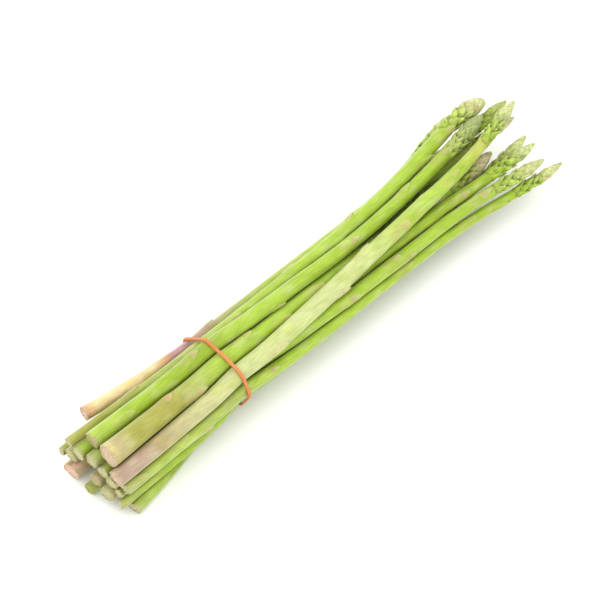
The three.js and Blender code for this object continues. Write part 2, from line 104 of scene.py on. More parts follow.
# Each spear's sizes are its diameters at the cut end, at the band, half way from there to
# the neck, at the neck and at the head's widest. Its route is x, y, z from the cut end to
# the tip. Its bracts have their x and then degrees round the stem from -Y over the top, and
# its tints are the skin's colours by their x.
spears = [{
    "sizes": (11, 8.4, 6.8, 5, 7.2), "cut": "blush", "dry": "rust",
    "scales": ("moss", "bark", "olive"),
    "route": [
        (-117, -7.4, 28), (-88, -6.6, 27), (-48, -5.6, 26.2), (-14, -4.8, 24.5), (6, -3.6, 22),
        (26, -3.2, 20), (54, -5.4, 19.5), (92, -9.8, 19.5), (104, -7.4, 20), (116, -2.4, 20.5),
    ],
    "bracts": {-85: 114, -71: 22, -38: 116, -19: 38, 3: 52, 40: 200, 75: 19},
    "tints": {
        -117: "straw", -113: "sand", -104: "olive", -78: "olive", -66: "sage", -52: "lime",
        40: "lime", 92: "leaf",
    },
}, {
    "sizes": (7.8, 7.9, 7.6, 4.9, 6.4), "cut": "blush", "dry": "rust",
    "scales": ("lime", "pale", "sand"),
    "route": [
        (-120, -13, 23), (-85, -13.2, 22.5), (-48, -12.9, 22.2), (-7, -12.3, 26), (30, -10, 28.5),
        (69, -7.6, 29), (89, -7, 28.5), (106, -7.2, 28.5), (121, -2, 28), (130, 4.6, 27),
        (140.5, 6, 26),
    ],
    "bracts": {-92: 250, -30: 20, 9: -13, 29: 131, 50: 48, 68: 200, 85: 71},
    "tints": {
        -120: "mauve", -106: "mauve", -92: "sand", -74: "buff", -46: "pale", 20: "pale",
        60: "mint", 92: "lime", 108: "hay", 120: "leaf",
    },
}, {
    "sizes": (7.8, 7.6, 6.2, 5.8, 7.6), "cut": "sand", "scales": ("sage", "ash", "sage"),
    "route": [
        (-116, 5.1, 27), (-87, 3.5, 27.5), (-48, 2, 27.6), (-6, -0.6, 28), (42, -0.8, 28),
        (66, 0.6, 27.5), (92, 4.8, 27), (99, 6, 27), (112, 9, 27), (125, 13, 25),
    ],
    "bracts": {-101: 52, -62: 103, -17: -13, 29: 65, 50: 220, 65: 112, 91: 87},
    "tints": {-116: "mint", -100: "lime", -88: "leaf", -62: "grass", -30: "lime", 96: "leaf"},
}, {
    "sizes": (4.6, 4.8, 6.2, 6.4, 9), "pointPower": 0.36, "scales": ("mint", "pale", "peach"),
    "route": [
        (-121, 14, 21), (-85, 9.9, 23.4), (-67, 8.4, 25), (-48, 8.3, 25.4), (-4, 6.6, 27),
        (44, 6.4, 27), (68, 7.9, 27.5), (85, 9.4, 28), (98, 13.4, 29), (110, 18.9, 31.8),
        (120, 22.6, 32.4), (128, 20.4, 28.4), (133, 16.2, 19),
    ],
    "bracts": {-90: 120, -34: 62, 0: 170, 25: 4, 36: 139, 60: 230, 83: 10, 100: 41},
    "tints": {
        -121: "olive", -100: "moss", -60: "sage", -40: "mint", 0: "lime", 60: "lime", 104: "leaf",
    },
}, {
    "sizes": (5.6, 5.6, 5, 4.5, 5), "scales": ("leaf", "pale", "rust"),
    "route": [
        (-118, -16.6, 17), (-85, -17, 16.5), (-48, -16, 15.6), (-22, -17.1, 15.6),
        (-5, -17.5, 15.8), (24, -18, 15.5), (53, -18.4, 15), (72, -18.7, 14.8), (92, -18.8, 14),
        (104, -21.4, 13), (116, -26, 13), (127, -28.2, 12.5), (138.8, -26.2, 12),
    ],
    "bracts": {-114: 60, -89: 81, -77: 0, -37: 62, -2: 250, 44: 67, 66: 170, 81: 72, 97: 22},
    "tints": {-112: "sage", -90: "mint", -60: "sage", -40: "lime", 112: "leaf"},
}, {
    "sizes": (6, 6, 5.9, 5.2, 6), "scales": ("mint", "pale", "rust"),
    "route": [
        (-120, -10.7, 16), (-85, -10.5, 15.6), (-48, -10.4, 14.8), (-5, -13.6, 19),
        (23, -14.6, 20), (51, -14.8, 20), (70, -14.7, 20.2), (90, -14.5, 20.6), (104, -18.1, 19.7),
        (119, -23.8, 19), (130.4, -23.4, 18.5),
    ],
    "bracts": {-80: 40, -24: 250, 12: 30, 39: 84, 46: 27, 70: 200, 91: 76},
    "tints": {-120: "moss", -80: "leaf", 0: "lime", 104: "leaf"},
}, {
    "sizes": (6, 6, 5.8, 5, 5.6), "scales": ("leaf", "pale", "deep"),
    "route": [
        (-119, -4, 17), (-85, -4.4, 17), (-48, -4.6, 17.6), (0, -8, 18.5), (20, -9.6, 20.5),
        (42, -10, 21.5), (66, -11.2, 22.2), (90, -12.6, 22.2), (108, -14.4, 21.5),
        (122, -15.5, 21), (133, -14.6, 20.5),
    ],
    "bracts": {-90: 60, -30: 200, 10: 310, 44: 180, 66: 300, 84: 52},
    "tints": {-119: "moss", -60: "leaf", 107: "grass"},
}, {
    "sizes": (6.4, 5.8, 5.4, 4.2, 5.4), "pointPower": 0.5, "cut": "sand",
    "scales": ("moss", "pale", "olive"),
    "route": [
        (-121, -1.7, 10), (-85, -2, 10), (-48, -3, 11), (0, -4.5, 14), (60, -8, 15),
        (100, -9.9, 16), (118, -12.6, 15.6), (127, -11.8, 16), (135, -5.6, 18),
    ],
    "tints": {-121: "sand", -104: "moss", 20: "grass"},
}, {
    "sizes": (6.4, 4.4, 4.6, 3.8, 5), "cut": "salmon", "dry": "rust",
    "scales": ("leaf", "chalk", "olive"),
    "route": [
        (-104.6, 22, 17), (-83, 17.4, 18.2), (-68, 15, 19.2), (-51, 14.8, 19.8), (-35, 15, 20.4),
        (-14, 12.3, 21), (28, 10.6, 22), (57, 10.5, 21.8), (76, 10.1, 22.6), (91, 15.4, 24),
        (104, 20, 25), (116, 23, 25),
    ],
    "tints": {
        -104.6: "peach", -98: "cream", -70: "cream", -64: "peach", -59: "rose", -51: "rose",
        -42: "mauve", -22: "sage", 30: "mint", 80: "lime",
    },
}, {
    "sizes": (4, 4.2, 4.2, 3.6, 4.6), "scales": ("moss", "bud", "olive"),
    "route": [
        (-121.4, 18.5, 10), (-86, 15, 13.2), (-51, 15.8, 14.6), (-20, 14.8, 15), (10, 14, 14.5),
        (60, 13, 13.5), (96, 14.5, 14),
    ],
    "tints": {-123: "olive", -90: "moss", 0: "leaf"},
}, {
    "sizes": (6.8, 6.2, 5.8, 4.8, 6.2), "dry": "rust", "scales": ("grass", "sage", "deep"),
    "route": [
        (-120, 1.2, 19.5), (-85, 2, 19), (-48, 2, 19.4), (0, 3.5, 20.5), (60, 5, 20.5),
        (95, 8, 21.5), (116, 10.2, 20.5), (131, 10.2, 20), (142.5, 12, 18.8),
    ],
    "tints": {-120: "sage", -100: "grass", -40: "leaf"},
}, {
    "sizes": (4.6, 4.8, 4.8, 4.2, 5), "scales": ("grass", "bud", "olive"),
    "route": [
        (-121, -16.5, 8.4), (-86, -14.8, 10.4), (-48, -14.4, 9.8), (0, -13.4, 10), (40, -12, 11),
        (68, -11, 11), (98, -10.5, 11),
    ],
    "tints": {-121: "sage", -95: "leaf", 72: "grass"},
}, {
    "sizes": (5.8, 5.6, 5.4, 4.6, 5.4), "scales": ("grass", "bud", "olive"),
    "route": [
        (-116, -20.2, 3.2), (-82, -15.7, 3.8), (-48, -11.2, 5.2), (0, -8.5, 2.2), (60, -7, 1.8),
        (104, -6, 3),
    ],
    "tints": {-116: "sage", -106: "leaf", -85: "deep", -50: "leaf"},
}, {
    "sizes": (6.6, 6, 5.6, 4.6, 5), "dry": "rust", "scales": ("moss", "buff", "olive"),
    "route": [
        (-121, 7.8, 19), (-85, 8, 18.5), (-48, 8.4, 19), (0, 7.5, 20.5), (60, 8, 18),
        (100, 7.8, 16), (122, 6.4, 15.6), (140, 4.2, 16.2),
    ],
    "tints": {-121: "leaf", -104: "deep", -40: "leaf"},
}, {
    "sizes": (7, 6.2, 5.7, 4.6, 5.6), "cut": "buff", "dry": "rust",
    "route": [
        (-121, 13.5, 11.5), (-85, 12, 11.8), (-48, 11.2, 12.6), (0, 12, 11), (60, 13.5, 10),
        (108, 17.5, 11),
    ],
    "tints": {-121: "sand", -106: "olive", -70: "moss", 0: "grass"},
}, {
    "sizes": (8.4, 6.6, 5.9, 4.6, 5.6), "cut": "salmon", "dry": "rust",
    "route": [
        (-123, 11.8, 4.8), (-85, 12, 4.2), (-48, 9.2, 6.4), (0, 9, 2.4), (60, 9, 1.8), (98, 11, 3),
    ],
    "tints": {-123: "salmon", -114: "salmon", -106: "rose", -60: "olive", 0: "grass"},
}, {
    "sizes": (5.4, 5.8, 5.5, 4.6, 5.6), "cut": "moss",
    "route": [
        (-123, 0.4, 2.8), (-85, -1, 3), (-48, -1.8, 5), (0, -2, 2), (60, -1, 1.8), (108, 0, 3),
    ],
    "tints": {-123: "sage", -112: "deep", 0: "leaf", 82: "grass"},
}, {
    "sizes": (7.2, 6.4, 5.9, 4.8, 5.6), "cut": "buff", "dry": "rust",
    "route": [
        (-121.5, -9, 7.5), (-85, -8.8, 7.5), (-48, -7.8, 9), (0, -7, 9), (60, -5, 9.5),
        (106, -3, 11),
    ],
    "tints": {-121.5: "sand", -104: "olive", -60: "moss", 0: "leaf"},
}, {
    "sizes": (4.4, 4.6, 4.6, 4, 4.8),
    "route": [
        (-119.5, -14.8, 12), (-85, -13.4, 12), (-48, -12.8, 13), (0, -10.8, 13.6),
        (50, -11.6, 15.6), (94, -12.8, 15.2),
    ],
    "tints": {-119.5: "moss", -95: "grass"},
}, {
    "sizes": (5.6, 5.6, 5.4, 4.6, 5.6),
    "route": [
        (-112, 5, 9), (-85, 4.4, 9), (-48, 4, 11.8), (0, 4, 11), (60, 4.5, 11), (102, 7.5, 9.5),
    ],
    "tints": {-112: "olive", -80: "grass"},
}]
for number, spear in enumerate(spears, 1):
    spear.update({**usual, **spear, "node": f"spear_{number:02d}"})


def makeDraw(seed):
    # a repeatable draw between 0 and 1: the last state times a constant, plus a constant
    state = [seed]

    def draw():
        state[0] = (state[0] * 1664525 + 1013904223) % 2**32
        return state[0] / 2**32

    return draw


def drawnRows(seed, count, each):
    # each of the count things takes its draws in turn, and each kind of draw is one row
    draw = makeDraw(seed)
    return np.array([[draw() for _ in range(each)] for _ in range(count)]).T


def linear(colour):
    # sRGB hex, or a palette name, to linear: a toe below 0.04045, a power of 2.4 above it
    code = palette.get(colour, colour)
    value = np.array([int(code[k:k + 2], 16) / 255 for k in (1, 3, 5)])
    return np.where(value <= 0.04045, value / 12.92, ((value + 0.055) / 1.055) ** 2.4)


def mixed(a, b, share):
    # a and b are colours, by name or in arrays, and share runs from 0 for a to 1 for b
    a, b = [linear(tint) if isinstance(tint, str) else tint for tint in (a, b)]
    share = np.asarray(share)[..., None]
    return a * (1 - share) + b * share


def smoothStep(low, high, value):
    # 0 below low, 1 above high, and 3t^2 - 2t^3 between them
    t = np.clip((value - low) / (high - low), 0, 1)
    return t * t * (3 - 2 * t)


def between(ends, share):
    # from the first of two ends to the second as the share goes from 0 to 1
    return ends[0] + (ends[1] - ends[0]) * share


def stationX():
    return stations["first"] + np.arange(stations["count"]) * stations["step"]


def endsOf(spear):
    buttX, tipX = spear["route"][0][0], spear["route"][-1][0]
    return buttX, tipX, tipX - layout["headLength"]


def roomRadius(spear, x):
    # half the diameter: a taper to the band, then a curve through three diameters to the
    # neck, then a sine swelling over the head, all closed by a blunt point
    x = np.asarray(x, float)
    buttX, tipX, neckX = endsOf(spear)
    butt, held, middle, neck, widest = spear["sizes"]
    early = np.clip((x - buttX) / (band["x"] - buttX), 0, 1)
    low = between((butt, held), early ** layout["buttPower"])
    share = (x - band["x"]) / (neckX - band["x"])
    stalk = (held * (1 - share) * (1 - 2 * share) + middle * 4 * share * (1 - share)
             + neck * share * (2 * share - 1))
    rise = np.minimum((x - neckX) / layout["headLength"] / layout["headPeak"], 1)
    head = between((neck, widest), np.sin(math.pi * rise))
    diameter = np.where(x < band["x"], low, np.where(x < neckX, stalk, head))
    power = spear.get("pointPower", layout["pointPower"])
    point = np.clip((tipX - x) / layout["pointLength"], 0, 1) ** power
    here = (x >= buttX - stations["step"]) & (x <= tipX + 1)
    return np.where(here, diameter * point / 2, 0)


def coreRadius(spear, x):
    # the stem inside its scales: slimmer by a share once it is in the head, and less so
    # inside the closed cap at the point
    _, tipX, neckX = endsOf(spear)
    intoHead = np.clip((x - neckX - scaleRow["slimStart"]) / scaleRow["slimLength"], 0, 1)
    intoCap = np.clip((x - tipX + scaleRow["capLength"]) / scaleRow["capBlend"], 0, 1)
    slimming = (1 - scaleRow["slim"]) * intoHead * (1 - scaleRow["capFill"] * intoCap)
    return roomRadius(spear, x) * (1 - slimming)


def alongRoute(route, axis):
    # straight from point to point, carried on before the cut end and held after the tip
    points = np.array(route, float)
    x, value = stationX(), points[:, axis]
    rows = np.interp(x, points[:, 0], value)
    slope = (value[1] - value[0]) / (points[1, 0] - points[0, 0])
    return np.where(x < points[0, 0], value[0] + (x - points[0, 0]) * slope, rows)


def eased(rows, weight):
    # each value moves by its weight towards the mean of its neighbours, and the ends stay
    moved = rows.copy()
    moved[:, 1:-1] += weight * (rows[:, :-2] - 2 * rows[:, 1:-1] + rows[:, 2:])
    return moved


def settleStems():
    # Stems that touch push each other apart in proportion to their overlap and are pulled to
    # their routes. Then the table lifts them and the band's oval squeezes them.
    x = stationX()
    room = np.array([roomRadius(spear, x) for spear in spears])
    guideY, guideZ = [eased(np.array([alongRoute(spear["route"], axis) for spear in spears]),
                            settling["guideEase"]) for axis in (1, 2)]
    lift = band["lift"] * np.exp(-((x - band["x"]) / band["reach"]) ** 2)
    grip = oval["grip"] * np.exp(-((x - band["x"]) / oval["reach"]) ** 2)
    lowest = np.where(room > 0, room - layout["restDepth"] + lift, -np.inf)
    both = (room[:, None] > 0) & (room[None] > 0)
    both[np.arange(len(spears)), np.arange(len(spears))] = False
    needed = room[:, None] + room[None] + layout["gap"]
    wider = oval["flare"] * np.abs(x - band["x"]) - room
    y, z = guideY.copy(), guideZ.copy()
    for turn in range(settling["rounds"]):
        fade = 1 - turn / settling["rounds"]
        dy, dz = y[:, None] - y[None], z[:, None] - z[None]
        apart = np.hypot(dy, dz) + ~both
        push = np.where(both & (apart < needed), (needed - apart) / apart, 0) * settling["push"]
        pull = settling["pull"] * fade
        y = y + (push * dy).sum(1) + pull * (guideY - y)
        z = np.maximum(z + (push * dz).sum(1) + pull * (guideZ - z), lowest)
        offY, offZ = y - oval["y"], z - oval["z"]
        out = np.hypot(offY / (oval["halfWidth"] + wider), offZ / (oval["halfHeight"] + wider))
        squeeze = np.where(out > 1, 1 - 1 / np.maximum(out, 1), 0) * grip
        y, z = y - offY * squeeze, z - offZ * squeeze
        weight = settling["calmEase"]
        if turn < settling["rounds"] - settling["calm"]:
            weight = between(settling["ease"], fade)
        y, z = eased(y, weight), np.maximum(eased(z, weight), lowest)
    return y, z


def readRow(row, x):
    # a cubic through the four nearest stations, its slopes half the steps across them
    place = (np.asarray(x, float) - stations["first"]) / stations["step"]
    k = np.clip(np.floor(place).astype(int), 0, stations["count"] - 2)
    t = place - k
    before, after = row[np.maximum(k - 1, 0)], row[np.minimum(k + 2, stations["count"] - 1)]
    slopeA, slopeB, rise = (row[k + 1] - before) / 2, (after - row[k]) / 2, row[k + 1] - row[k]
    return row[k] + t * (slopeA + t * (3 * rise - 2 * slopeA - slopeB
                                       + t * (slopeA + slopeB - 2 * rise)))


settledY, settledZ = settleStems()


def centreAt(index, x):
    x = np.asarray(x, float)
    return np.stack([x, readRow(settledY[index], x), readRow(settledZ[index], x)], -1)


def layOffset():
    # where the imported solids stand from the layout: each tip is a corner of its own solid
    offsets = []
    for index, spear in enumerate(spears):
        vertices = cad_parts[spear["node"]].data.vertices
        corners = np.empty(len(vertices) * 3, np.float32)
        vertices.foreach_get("co", corners)
        corners = corners.reshape(-1, 3) / mm
        tip = corners[corners[:, 0].argmax()]
        offsets.append(tip - centreAt(index, endsOf(spear)[1]))
    offsets = np.array(offsets)
    print("layout and solids agree within", round(float(np.ptp(offsets, 0).max()), 4), "mm")
    return np.median(offsets, 0)


offset = layOffset()


def unit(vectors):
    return vectors / np.linalg.norm(vectors, axis=-1, keepdims=True)


def onStem(index, x, angle, radius):
    # out from the centre line by the radius, at an angle from -Y over the top
    x, angle, radius = np.broadcast_arrays(np.asarray(x, float), angle, radius)
    ahead = unit(centreAt(index, x + 1) - centreAt(index, x - 1))
    side = unit(np.cross(ahead, [0, 0, 1]))
    top = np.cross(side, ahead)
    around = side * np.cos(angle)[..., None] + top * np.sin(angle)[..., None]
    return centreAt(index, x) + around * radius[..., None]


def freeHeight(index, x, angle):
    # from the skin at x and angle to the nearest other stem's core
    spot = onStem(index, x, angle, coreRadius(spears[index], x))
    free = np.full(spot.shape[:-1], np.inf)
    for other, spear in enumerate(spears):
        if other != index:
            radius = coreRadius(spear, spot[..., 0])
            middle = centreAt(other, spot[..., 0])
            reach = np.hypot(spot[..., 1] - middle[..., 1], spot[..., 2] - middle[..., 2]) - radius
            free = np.where(radius > 0, np.minimum(free, reach), free)
    return free


def paintedShade(index, x, angle):
    # Painted shade: how much light would reach the skin at x and angle, painted into its tint.
    # It fades as an exponential of a power of the free height, where another stem lies close,
    # and less so towards +Y, the side the light comes from. The painted dark is warm, because
    # red, green and blue fade by powers of their own.
    near = np.maximum(freeHeight(index, x, angle), 0) / stem["contactReach"]
    shade = stem["contactShade"] * (1 - stem["litSide"] * (0.5 - 0.5 * np.cos(angle)))
    fading = np.exp(-near ** stem["contactPower"])
    return (1 - shade * fading)[..., None] ** np.array(stem["contactTint"])


# Sums of sines: a seed, their lengths along the stem in millimetres, and how often each of
# them goes round it
waves = {
    "mottle": (31, (47, 23, 13, 7.1), (1, 2, -2, 3)),
    "patches": (231, (37, 19, 11), (1, 2, -1)),
    "stripes": (131, (150, 90, 190, 60), (3, 6, 5, 2)),
    "dryRing": (171, (1, 1, 1), (2, 5, 9)),
    "sway": (51, (61, 37, 19), (2, 1, 3)),
    "ribs": (71, (160, 210, 120, 90), (9, 5, 7, 13)),
    "fibres": (97, (2.1, 3.7, 5.3), (5, 9, 3)),
    "grain": (13, (3, 2, 5), (3, 5, 8)),
    "stain": (285, (17, 9, 6), (1, 2, 3)),
}


def wave(kind, index, x, angle):
    # the sum's mean at x and angle, each sine with a drawn phase, between about -1 and 1
    seed, lengths, turns = waves[kind]
    draw = makeDraw(index + seed)
    total = 0
    for length, count in zip(lengths, turns):
        total = total + np.sin(2 * math.pi * (x / length + draw()) + count * angle + 6 * draw())
    return total / len(lengths)


def gridFaces(rows, columns, wrapped):
    # quads of a grid stored row by row, with rows going forwards and columns round the stem
    row = np.arange(rows - 1)[:, None] * columns
    column = np.arange(columns if wrapped else columns - 1)[None]
    after = (column + 1) % columns
    quads = [row + column, row + columns + column, row + columns + after, row + after]
    return np.stack(quads, -1).reshape(-1, 4)


def shellFaces(rows, columns):
    # an outer grid, an inner grid turned the other way, and a rim of quads between them
    size = rows * columns
    outer = gridFaces(rows, columns, False)
    inner = outer[:, ::-1] + size
    down = np.arange(rows) * columns
    across = (rows - 1) * columns + np.arange(columns)
    rim = np.concatenate([down, across[1:], (down + columns - 1)[::-1][1:],
                          np.arange(columns)[::-1][1:-1]])
    after = np.roll(rim, -1)
    wall = np.stack([after, rim, rim + size, after + size], -1)
    return np.concatenate([outer, inner, wall])


def repeated(faces, points, copies):
    return (faces[None] + np.arange(copies)[:, None, None] * points).reshape(-1, faces.shape[1])


def leafGrid(rows, columns):
    # shares of a leaf's length from its root, and of its half width from its middle
    return np.linspace(0, 1, rows)[:, None], np.linspace(-1, 1, columns)[None]


def tall(*rows):
    # one value for each leaf, shaped to spread over the leaf's grid
    return [row[:, None, None] for row in rows]


def softSpot(ahead, across, spot):
    # 1 in the middle of the spot, and less as an exponential of the squared distances
    place, length, width = spot
    return np.exp(-((ahead - place) / length) ** 2 - (across / width) ** 2)


skinFinish, bractFinish, fleshFinish, scaleFinish = range(4)    # their order on a spear


def block(points, tint, quads, finish, others=()):
    # points and tints of any shape, quads of one finish, and other faces with theirs
    tint = np.broadcast_to(tint, points.shape)
    return {"points": points.reshape(-1, 3), "tint": tint.reshape(-1, 3),
            "faces": [(quads, finish), *others]}


def pressedFlat(points):
    # below a soft depth, heights shrink as an exponential, so nothing goes under the table
    z, soft = points[:, 2], layout["softDepth"]
    low = soft * np.exp(np.minimum(z / soft, 1) - 1)
    return np.column_stack([points[:, :2], np.where(z < soft, low, z)])


def makePiece(name, blocks, materials):
    # joins the blocks into one mesh in metres, with its tints as a colour attribute
    points, tints, faces, finishes, start = [], [], [], [], 0
    for part in blocks:
        points.append(part["points"])
        tints.append(part["tint"])
        for group, finish in part["faces"]:
            faces += (group + start).tolist()
            finishes += [finish] * len(group)
        start += len(part["points"])
    points, tints = pressedFlat(np.concatenate(points)), np.concatenate(tints)
    mesh = bpy.data.meshes.new(name)
    mesh.from_pydata(((points + offset) * mm).tolist(), [], faces)
    mesh.polygons.foreach_set("material_index", finishes)
    mesh.polygons.foreach_set("use_smooth", [True] * len(finishes))
    colours = mesh.attributes.new("tint", "FLOAT_COLOR", "POINT")
    colours.data.foreach_set("color", np.column_stack([tints, np.ones(len(tints))]).ravel())
    for material in materials:
        mesh.materials.append(material)
    mesh.update()
    piece = bpy.data.objects.new(name, mesh)
    bpy.context.scene.collection.objects.link(piece)
    return piece


# The stems' skin
stem = {
    "ringGap": 0.9, "around": 44,
    "bevel": 0.22,             # the cut end's broken edge
    "cutRings": (1, 0.97, 0.92, 0.84, 0.7, 0.55, 0.38, 0.19),
    "slant": 0.36,             # how far a cut may lean, in mm for each mm across
    "torn": 0.38,              # how far its fibres stand out
    "dish": 0.25,              # how far the flesh has shrunk into the cut
    "ribs": 0.05, "sway": 0.018,
    "node": 0.42,              # the step in the skin under a bract
    "nodeRun": 13,             # over which the stem thickens towards it
    "shoulder": 0.2,           # the step at a bract's root
    "stepHalf": 0.9, "stepWidth": 0.85,        # in millimetres, and in radians round the stem
    "ridge": 0.11, "ridgeRun": 34, "ridgeWidth": 0.5,
    "mottle": 0.1, "patches": 0.4, "patchTint": (0.14, 0.08, 0.6), "bloom": 0.26,
    # rim and the degrees after it paint a highlight on the stems' side towards +Y, where the light
    # falls
    "rim": 0.4, "highlightAt": (105, 145),       # degrees round the stem
    "freshSpot": (2.2, 2.6, 1.5), "drySpot": (-9, 2.5, 2.2),    # place, length and width
    "dryEnd": 1.8, "cutShrink": 0.965, "cutRun": 4, "cutSeed": 91, "freshSeed": 151,
    "contactShade": 0.8, "contactReach": 0.75, "contactPower": 1.5, "litSide": 0.6,
    "contactTint": (0.85, 0.95, 1.5),
}


def bractsOf(index):
    # listed bracts, or by rule: gaps that close up from the low one to the high one, each
    # varied, and a golden angle from bract to bract
    spear = spears[index]
    if "bracts" in spear:
        return np.array(list(spear["bracts"].items()), float)
    buttX, _, neckX = endsOf(spear)
    draw = makeDraw(index + bractRule["seed"])
    found = []
    x = buttX + bractRule["first"] + bractRule["spread"] * draw()
    turn = 360 * draw()
    while x < neckX - bractRule["neckClear"]:
        found.append((x, turn))
        share = (x - buttX) / (neckX - buttX)
        gap = between(bractRule["gap"], share)
        x += gap * (1 - bractRule["vary"] + 2 * bractRule["vary"] * draw())
        turn += math.degrees(math.pi * (3 - math.sqrt(5)))
    return np.array(found)


def turnFrom(angle, turn):
    # the signed angle from a bract's middle, in degrees, to an angle in radians
    return np.angle(np.exp(1j * (angle - math.radians(turn))))


def skinTint(index, x, angle):
    # The spear's tints read at x, mottled, with richer patches, lengthwise stripes of pale
    # bloom and a painted highlight on the side towards +Y, where the light falls. A fresh green
    # patch lies in front of each bract and a dry ring at the cut end, and painted shade darkens
    # the skin where another stem lies close.
    spear = spears[index]
    x, angle = np.broadcast_arrays(np.asarray(x, float), angle)
    colours = np.array([linear(name) for name in spear["tints"].values()])
    tint = np.stack([np.interp(x, list(spear["tints"]), one) for one in colours.T], -1)
    mottle = wave("mottle", index, x, angle)
    tint = tint * (1 + stem["mottle"] * mottle)[..., None]
    patches = wave("patches", index, x, angle)
    rich = stem["patches"] * smoothStep(0, 0.8, patches)
    tint = tint * (1 - rich[..., None] * np.array(stem["patchTint"]))
    stripes = wave("stripes", index, x, angle)
    pale = stem["bloom"] * smoothStep(0.1, 0.9, 0.6 * stripes - 0.7 * patches)
    # painted highlight: the side towards +Y is mixed towards the pale bloom colour
    side = smoothStep(*np.radians(stem["highlightAt"]), np.mod(angle, 2 * math.pi))
    tint = mixed(tint, "bloom", np.maximum(pale, stem["rim"] * side))
    draw = makeDraw(index + stem["freshSeed"])
    for bractX, turn in bractsOf(index):
        across = turnFrom(angle, turn) * roomRadius(spear, x)
        ahead = x - bractX - bract["length"]
        front = softSpot(ahead, across, stem["freshSpot"])
        tint = mixed(tint, "fresh", (0.1 + 0.5 * draw()) * front)
        behind = softSpot(ahead, across, stem["drySpot"])
        tint = mixed(tint, spear["dry"], 0.25 * behind)
    border = stem["dryEnd"] * (1 + 0.7 * wave("dryRing", index, 0 * x, angle))
    dryRing = 1 - smoothStep(0.3, 1, (x - endsOf(spear)[0]) / border)
    # the dry ring at the cut end, then the painted contact shade
    return mixed(tint, linear(spear["cut"]) * 0.8, 0.75 * dryRing) * paintedShade(index, x, angle)


def stemRadius(index, x, angle):
    # The core's radius with a slow sway, ribs, a step under each bract that the stem thickens
    # towards, and two ridges that run down from it.
    spear = spears[index]
    neckX = endsOf(spear)[2]
    radius = coreRadius(spear, x) * np.ones_like(angle)
    stalk = 1 - smoothStep(neckX - 3, neckX + 3, x)
    sway = wave("sway", index, x, angle)
    ribs = wave("ribs", index, x, angle)
    radius = radius * (1 + stem["sway"] * sway * stalk) + stem["ribs"] * ribs * stalk
    for bractX, turn in bractsOf(index):
        off = turnFrom(angle, turn)
        ahead, end = x - bractX, bract["length"]
        thicker = smoothStep(end - stem["nodeRun"], end - 3, ahead)
        step = thicker * (1 - smoothStep(end - stem["stepHalf"], end + stem["stepHalf"], ahead))
        root = smoothStep(-0.5, 0.5, ahead) * (1 - smoothStep(0.5, end, ahead))
        raised = stem["node"] * step + stem["shoulder"] * root
        radius = radius + raised * np.exp(-(off / stem["stepWidth"]) ** 2)
        beside = (np.abs(off) - math.radians(bract["halfAngle"])) * radius
        down = smoothStep(-stem["ridgeRun"], 0, ahead) * (1 - smoothStep(0, 4, ahead))
        radius = radius + stem["ridge"] * down * np.exp(-(beside / stem["ridgeWidth"]) ** 2)
    return radius


def stemBlock(index):
    # a tube of rings along the settled line. The first rings make the cut face, which leans,
    # is rough and has shrunk into the end, and both ends close in a fan.
    spear = spears[index]
    buttX, tipX, neckX = endsOf(spear)
    angle = (np.arange(stem["around"]) * 2 * math.pi / stem["around"] - math.pi / 2)[None]
    skin = np.linspace(buttX + stem["bevel"], tipX - 0.5, int((tipX - buttX) / stem["ringGap"]))
    cut = np.array(stem["cutRings"])[::-1]
    x = np.concatenate([np.full(len(cut), buttX), skin])[:, None]
    share = np.concatenate([cut, np.ones(len(skin))])[:, None]
    isCut = x <= buttX
    radius = stemRadius(index, x, angle) * np.where(isCut, stem["cutShrink"], 1)
    draw = makeDraw(index + stem["cutSeed"])
    lean = stem["slant"] * draw() * radius * share * np.cos(angle - 6.3 * draw())
    fibres = wave("fibres", index, share * 9, angle)
    torn = stem["torn"] * (0.4 + 1.2 * draw()) * fibres * share
    dish = stem["dish"] * (1 - share ** 3)
    nearCut = np.clip(1 - (x - buttX) / stem["cutRun"], 0, 1)
    place = x + (lean + torn) * nearCut ** 2 + np.where(isCut, dish, 0)
    points = onStem(index, place, angle, radius * share)
    tint = skinTint(index, x, angle)
    everywhere = np.ones_like(angle)
    # Inside the head the core seen between the scales is painted in shade: dark green, in the cap
    # the scales' paler colour darkened, and darker still where another stem lies close.
    inHead = smoothStep(neckX - 1, neckX + 4, x) * everywhere
    capX = tipX - scaleRow["capLength"]
    inCap = smoothStep(capX - 1, capX + 4, x) * everywhere
    within = mixed("shade", linear(spear["scales"][1]) * 0.8, inCap)
    tint = mixed(tint, within * paintedShade(index, x, angle), 0.8 * inHead)
    grain = wave("grain", index, share * 7, angle)
    flesh = linear(spear["cut"]) * (1 + 0.12 * grain)[..., None]
    ring = smoothStep(0.74, 0.84, share) * (1 - smoothStep(0.88, 0.97, share))
    flesh = mixed(flesh, "scar", 0.45 * ring * everywhere)
    rim = 0.5 * smoothStep(0.92, 0.99, share) * everywhere
    tint = np.where(isCut[..., None], mixed(flesh, tint, rim), tint)

    rows, columns = points.shape[:2]
    butt = onStem(index, buttX + stem["dish"], 0, 0)
    tip = onStem(index, tipX, 0, 0)
    corners = np.concatenate([points.reshape(-1, 3), [butt, tip]])
    # the tip's centre point takes the painted shade colour
    tints = np.concatenate([tint.reshape(-1, 3), [linear(spear["cut"]), linear("shade")]])
    column = np.arange(columns)
    after = (column + 1) % columns
    last = (rows - 1) * columns
    buttFan = np.stack([np.full(columns, rows * columns), column, after], -1)
    tipFan = np.stack([np.full(columns, rows * columns + 1), last + after, last + column], -1)
    quads = gridFaces(rows, columns, True)
    inCut = (len(cut) - 1) * columns
    return block(corners, tints, quads[inCut:], skinFinish, [
        (quads[:inCut], fleshFinish), (buttFan, fleshFinish), (tipFan, skinFinish)])


# The dry bracts along a stem
bract = {
    "seed": 17, "length": 7.6, "halfAngle": 38, "rise": 0.5, "thickness": 0.3, "widest": 0.3,
    "rows": 16, "columns": 11, "clearOfBand": 3, "longer": 0.35, "longerRun": 22,
    "size": (0.8, 1.15), "bend": 0.3, "edge": 0.4, "innerShade": 0.6,
    "stain": (0.4, 0.24, 0.6),     # its place, length and width, as shares of the bract's
}


